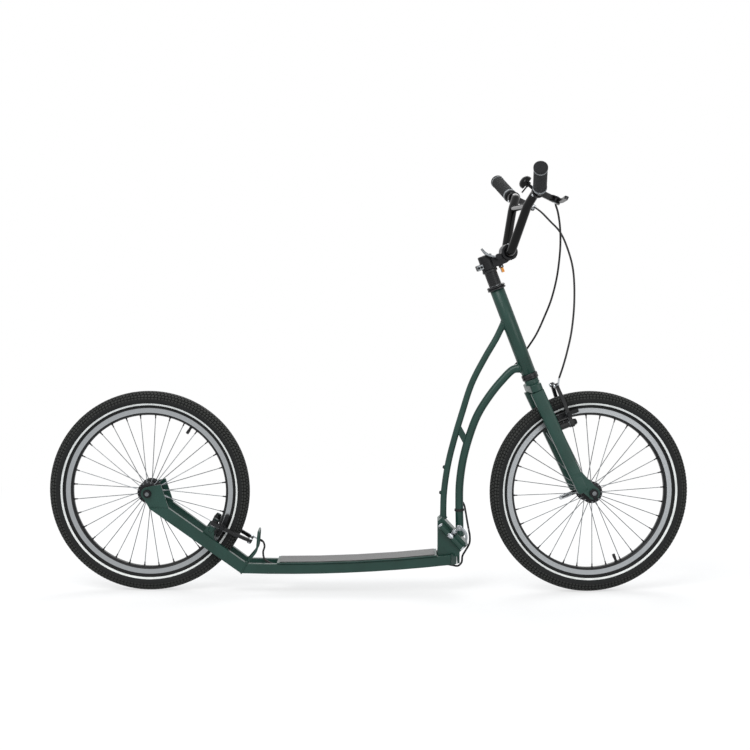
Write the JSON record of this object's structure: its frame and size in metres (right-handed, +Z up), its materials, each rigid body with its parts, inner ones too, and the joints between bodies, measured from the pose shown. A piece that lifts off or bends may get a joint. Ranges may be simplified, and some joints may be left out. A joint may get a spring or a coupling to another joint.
{
  "type": "kick bike",
  "caption": "Adult folding kick scooter with large spoked wheels front and rear, a low bowed footboard, a green steel frame, rim brakes and a tall handlebar with a crossbar.",
  "frame": {"origin": "on the ground, midway between the two wheel hubs, in the middle plane of the frame", "axes": "+X forward, towards the front wheel; +Y to the left of the rider; +Z up"},
  "size_m": [1.5878, 0.6003, 1.0611],
  "materials": {
    "green_paint": "satin green enamel",
    "black_paint": "gloss black enamel",
    "black_metal": "satin black anodised",
    "bright_metal": "polished",
    "bright_steel": "bright zinc",
    "lever_alloy": "satin dark grey",
    "tyre_rubber": "matte",
    "grip_rubber": "matte ribbed",
    "cable_jacket": "satin black",
    "mat_covering": "matte anti-slip",
    "orange_plastic": "satin orange"
  },
  "bodies": {
    "rear_frame": {"deck_rail_right": "green_paint", "deck_rail_left": "green_paint", "rear_arm_right": "green_paint", "rear_arm_left": "green_paint", "deck_plate": "green_paint", "grip_mat": "mat_covering", "hinge_box": "green_paint", "hinge_pin": "bright_steel", "rear_axle": "bright_steel", "heel_guard": "green_paint", "rear_cable_deck": "cable_jacket"},
    "rear_wheel": {"rear_tyre": "tyre_rubber", "rear_rim": "bright_metal", "rear_hub": "black_metal", "rear_spokes_right": "bright_steel", "rear_spokes_left": "bright_steel"},
    "front_frame": {"head_tube": "green_paint", "headset_upper": "black_metal", "headset_lower": "black_metal", "upper_tube": "green_paint", "lower_tube": "green_paint", "tube_brace": "green_paint", "hinge_plate": "green_paint", "hinge_link": "bright_steel", "cable_band": "black_paint", "rear_cable_tube": "cable_jacket"},
    "latch_lever": {"latch_lever": "bright_steel"},
    "fork": {"fork_crown": "green_paint", "fork_leg_right": "green_paint", "fork_leg_left": "green_paint", "front_axle": "bright_steel", "lift_sleeve": "black_paint"},
    "front_wheel": {"front_tyre": "tyre_rubber", "front_rim": "bright_metal", "front_hub": "black_metal", "front_spokes_right": "bright_steel", "front_spokes_left": "bright_steel"},
    "hub_lever": {"hub_lever": "black_metal"},
    "stem_lift": {"lift_post": "bright_metal", "lift_collar": "black_paint"},
    "bar": {"stem_head": "black_metal", "clamp_cap": "black_metal", "handlebar": "black_paint", "grip_right": "grip_rubber", "grip_left": "grip_rubber", "perch_right": "black_metal", "perch_left": "black_metal", "bell": "black_metal", "front_cable": "cable_jacket", "rear_cable_top": "cable_jacket"},
    "stem_lever": {"stem_lever": "black_metal"},
    "safety_clip": {"safety_clip": "orange_plastic"},
    "brake_lever_right": {"brake_lever_right": "lever_alloy"},
    "brake_lever_left": {"brake_lever_left": "lever_alloy"},
    "bell_striker": {"bell_striker": "black_metal"},
    "rear_brake_arm_right": {"rear_brake_arm_right": "black_metal"},
    "rear_brake_arm_left": {"rear_brake_arm_left": "black_metal"},
    "front_brake_arm_right": {"front_brake_arm_right": "black_metal"},
    "front_brake_arm_left": {"front_brake_arm_left": "black_metal"}
  },
  "joints": [
    {"name": "rear_wheel_spin", "type": "hinge", "parent": "rear_frame", "child": "rear_wheel", "pos_m": [-0.546, 0, 0.249], "axis": [0, 1, 0], "continuous": true},
    {"name": "fold", "type": "hinge", "parent": "rear_frame", "child": "front_frame", "pos_m": [0.201, -0.044, 0.144], "axis": [0.682, 0, -0.7314], "range_deg": [0, 165], "deforming": ["rear_cable_tube", "rear_cable_deck"]},
    {"name": "latch", "type": "hinge", "parent": "front_frame", "child": "latch_lever", "pos_m": [0.22294, -0.044, 0.16446], "axis": [0, -1, 0], "range_deg": [0, 120]},
    {"name": "steering", "type": "hinge", "parent": "front_frame", "child": "fork", "pos_m": [0.35452, 0, 0.6468], "axis": [-0.3584, 0, 0.9336], "range_deg": [-52.5, 37.5], "deforming": ["rear_cable_top"]},
    {"name": "front_wheel_spin", "type": "hinge", "parent": "fork", "child": "front_wheel", "pos_m": [0.54571, 0.00473, 0.24889], "axis": [-0.1219, 0.9914, -0.0468], "continuous": true},
    {"name": "hub_release", "type": "hinge", "parent": "fork", "child": "hub_lever", "pos_m": [0.5379, 0.06828, 0.24589], "axis": [0.3584, 0, -0.9336], "range_deg": [0, 150]},
    {"name": "stem_lift", "type": "slide", "parent": "fork", "child": "stem_lift", "axis": [-0.3584, 0, 0.9336], "range_m": [0, 0.1], "deforming": ["front_cable", "rear_cable_top"]},
    {"name": "bar_twist", "type": "hinge", "parent": "stem_lift", "child": "bar", "pos_m": [0.29002, 0, 0.81485], "axis": [-0.3584, 0, 0.9336], "range_deg": [0, 90], "deforming": ["front_cable", "rear_cable_top"]},
    {"name": "stem_release", "type": "hinge", "parent": "bar", "child": "stem_lever", "pos_m": [0.31707, -0.02311, 0.83166], "axis": [-0.1219, 0.9914, -0.0468], "range_deg": [0, 80]},
    {"name": "safety_catch", "type": "hinge", "parent": "bar", "child": "safety_clip", "pos_m": [0.32492, 0.00392, 0.80693], "axis": [0.1219, -0.9914, 0.0468], "range_deg": [0, 50]},
    {"name": "brake_lever_right", "type": "hinge", "parent": "bar", "child": "brake_lever_right", "pos_m": [0.4464, -0.14692, 0.97047], "axis": [-0.4278, -0.095, -0.8988], "range_deg": [0, 22], "stiffness_Nm_per_rad": 2, "springref_deg": -5.73},
    {"name": "brake_lever_left", "type": "hinge", "parent": "bar", "child": "brake_lever_left", "pos_m": [0.40448, 0.19414, 0.95438], "axis": [0.4278, 0.095, 0.8988], "range_deg": [0, 22], "stiffness_Nm_per_rad": 2, "springref_deg": -5.73},
    {"name": "bell_strike", "type": "hinge", "parent": "bar", "child": "bell_striker", "pos_m": [0.40317, -0.12715, 0.98896], "axis": [-0.7732, -0.0653, 0.6309], "range_deg": [0, 20], "stiffness_Nm_per_rad": 0.02, "springref_deg": -5.73},
    {"name": "rear_brake_right", "type": "hinge", "parent": "rear_frame", "child": "rear_brake_arm_right", "pos_m": [-0.38251, -0.04, 0.17327], "axis": [0.4602, 0, 0.8878], "range_deg": [0, 3]},
    {"name": "rear_brake_left", "type": "hinge", "parent": "rear_frame", "child": "rear_brake_arm_left", "pos_m": [-0.38251, 0.04, 0.17327], "axis": [-0.4602, 0, -0.8878], "range_deg": [0, 3]},
    {"name": "front_brake_right", "type": "hinge", "parent": "fork", "child": "front_brake_arm_right", "pos_m": [0.49885, -0.03313, 0.42371], "axis": [-0.9256, -0.1305, -0.3553], "range_deg": [0, 3]},
    {"name": "front_brake_left", "type": "hinge", "parent": "fork", "child": "front_brake_arm_left", "pos_m": [0.4891, 0.04618, 0.41997], "axis": [0.9256, 0.1305, 0.3553], "range_deg": [0, 3]}
  ],
  "couplings": [
    {"joint": "rear_brake_right", "follows": "brake_lever_right", "ratio": 0.13636},
    {"joint": "rear_brake_left", "follows": "brake_lever_right", "ratio": 0.13636},
    {"joint": "front_brake_right", "follows": "brake_lever_left", "ratio": 0.13636},
    {"joint": "front_brake_left", "follows": "brake_lever_left", "ratio": 0.13636}
  ]
}
